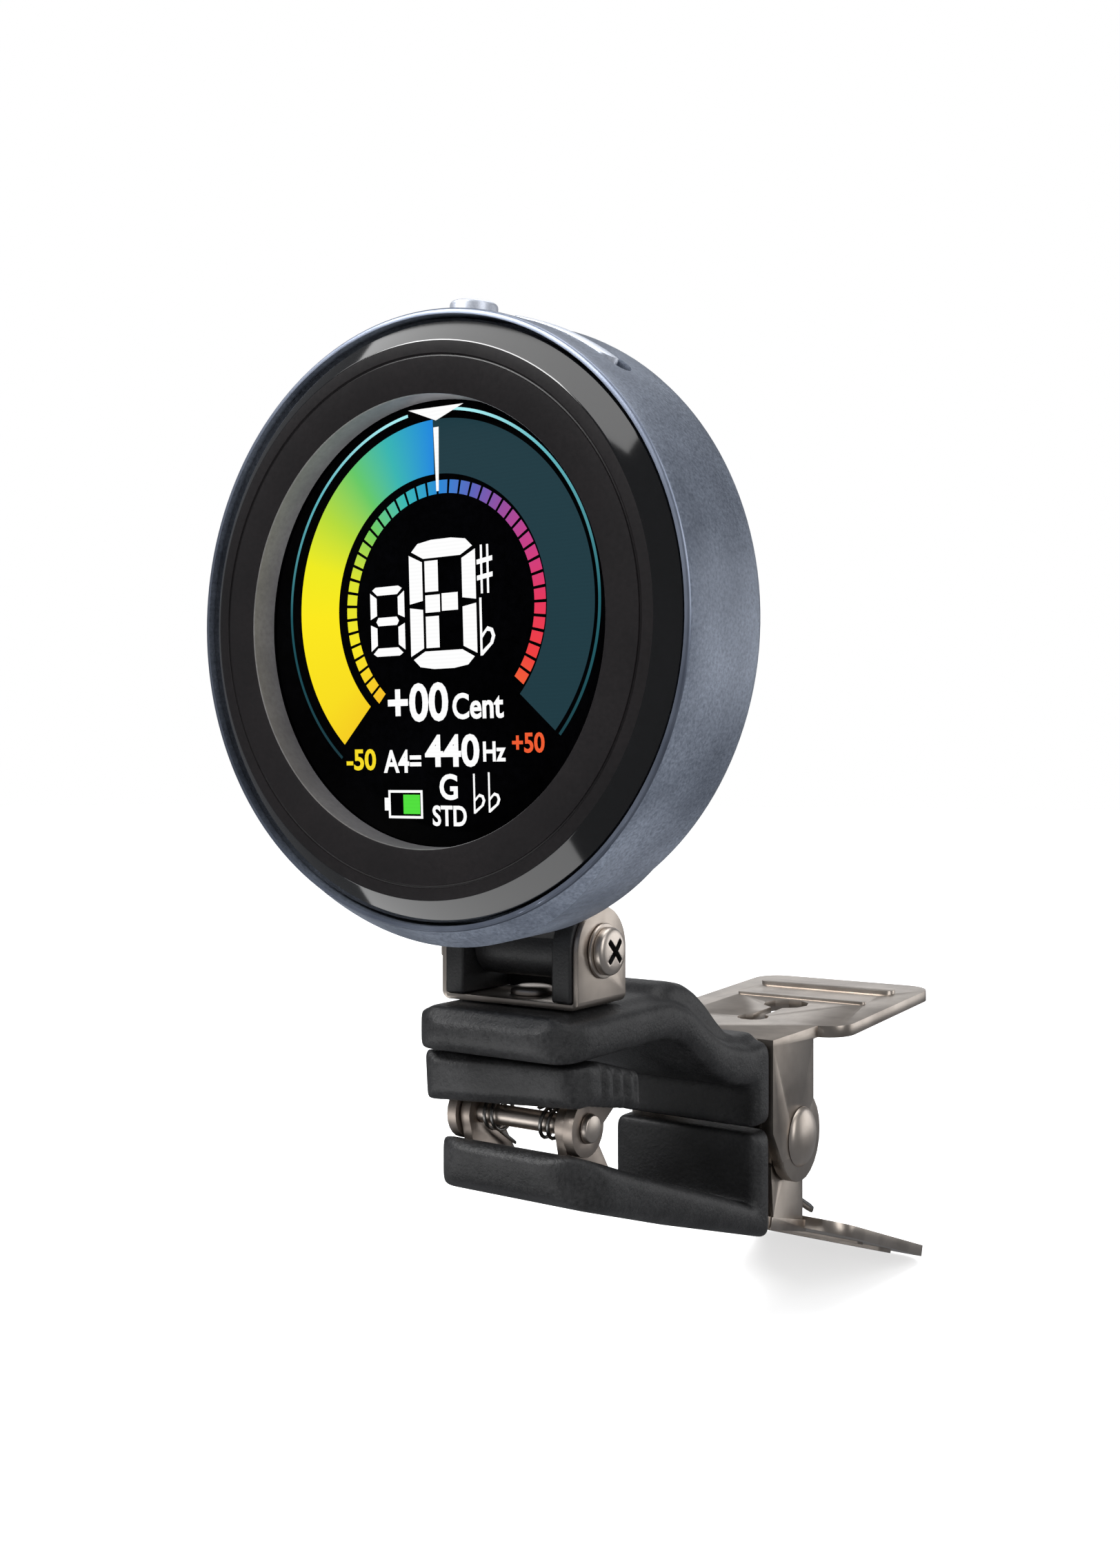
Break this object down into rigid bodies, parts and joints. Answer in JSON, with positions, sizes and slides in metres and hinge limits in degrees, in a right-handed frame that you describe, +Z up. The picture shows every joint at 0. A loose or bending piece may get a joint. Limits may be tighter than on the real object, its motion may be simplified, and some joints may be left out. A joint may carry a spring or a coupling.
{
  "type": "clip-on tuner",
  "caption": "Clip-on instrument tuner: round colour display head in a metal case on a tilting, swivelling neck, held by a sprung rubber-jawed clip with a rocking grip pad.",
  "frame": {"origin": "middle of the upper jaw's flat grip face, which rests on the headstock", "axes": "+Z up through the upper lever, +Y from the display towards the squeeze tabs, +X to the right as the display is read"},
  "size_m": [0.0476, 0.0822, 0.0918],
  "materials": {
    "case_aluminium": "sandblasted blue-grey anodised, polished rim",
    "bezel_gloss_black": "gloss black",
    "display_black": "black display window",
    "foil": "satin",
    "circuit_board": "solder mask",
    "pickup_brass": "satin",
    "steel": "nickel plated",
    "screw_steel": "bright nickel",
    "spring_steel": "oiled music wire",
    "button_silver": "polished",
    "black_plastic": "fine moulded texture",
    "rubber": "fine grained matte"
  },
  "bodies": {
    "upper_clip": {"upper_lever": "steel", "upper_sleeve": "rubber", "swivel_rivet": "screw_steel", "swivel_bush": "black_plastic", "hinge_pin": "screw_steel", "main_spring": "spring_steel"},
    "lower_clip": {"lower_lever": "steel", "lower_sleeve": "rubber", "arm_bracket": "steel", "arm_rivet_left": "screw_steel", "arm_rivet_right": "screw_steel"},
    "pad": {"pad_bracket": "steel", "grip_pad": "rubber", "pad_pin": "screw_steel", "pad_spring": "spring_steel"},
    "neck": {"neck_bracket": "steel", "liner_left": "black_plastic", "liner_right": "black_plastic", "liner_rear": "black_plastic", "tilt_screw": "screw_steel", "tilt_washer": "screw_steel", "tilt_nut": "screw_steel"},
    "head": {"case_shell": "case_aluminium", "bezel_ring": "bezel_gloss_black", "display_lens": "display_black", "display_panel": "foil", "main_board": "circuit_board", "battery": "foil", "pickup_disc": "pickup_brass", "charge_socket": "steel", "power_switch": "foil", "rocker_switch_left": "foil", "rocker_switch_right": "foil", "rear_cover": "black_plastic", "cover_screw_1": "screw_steel", "cover_screw_2": "screw_steel", "cover_screw_3": "screw_steel", "cover_screw_4": "screw_steel", "neck_foot": "black_plastic", "foot_screw_left": "screw_steel", "foot_screw_right": "screw_steel"},
    "power_key": {"power_button": "button_silver"},
    "rocker_key": {"rocker_button": "button_silver"}
  },
  "joints": [
    {"name": "jaw_open", "type": "hinge", "parent": "upper_clip", "child": "lower_clip", "pos_m": [0, 0.032, -0.0136], "axis": [1, 0, 0], "range_deg": [0, 26], "stiffness_Nm_per_rad": 0.5, "springref_deg": -40.11, "deforming": ["main_spring"]},
    {"name": "pad_rock", "type": "hinge", "parent": "lower_clip", "child": "pad", "pos_m": [0, -0.0047, -0.0058], "axis": [1, 0, 0], "range_deg": [-2, 12], "stiffness_Nm_per_rad": 0.003, "springref_deg": -5.73, "deforming": ["pad_spring"]},
    {"name": "neck_swivel", "type": "hinge", "parent": "upper_clip", "child": "neck", "pos_m": [0, -0.0034, 0.0039], "axis": [0, 0, 1], "range_deg": [-180, 180]},
    {"name": "head_tilt", "type": "hinge", "parent": "neck", "child": "head", "pos_m": [0, -0.0034, 0.0084], "axis": [1, 0, 0], "range_deg": [-85, 20]},
    {"name": "power_press", "type": "slide", "parent": "head", "child": "power_key", "axis": [-0.101, 0.0409, -0.994], "range_m": [0, 0.0004], "stiffness_N_per_m": 300},
    {"name": "rocker_tilt", "type": "hinge", "parent": "head", "child": "rocker_key", "pos_m": [0.0098, -0.0146, 0.0529], "axis": [0, 0.9992, 0.0412], "range_deg": [-2, 2], "stiffness_Nm_per_rad": 0.02}
  ]
}
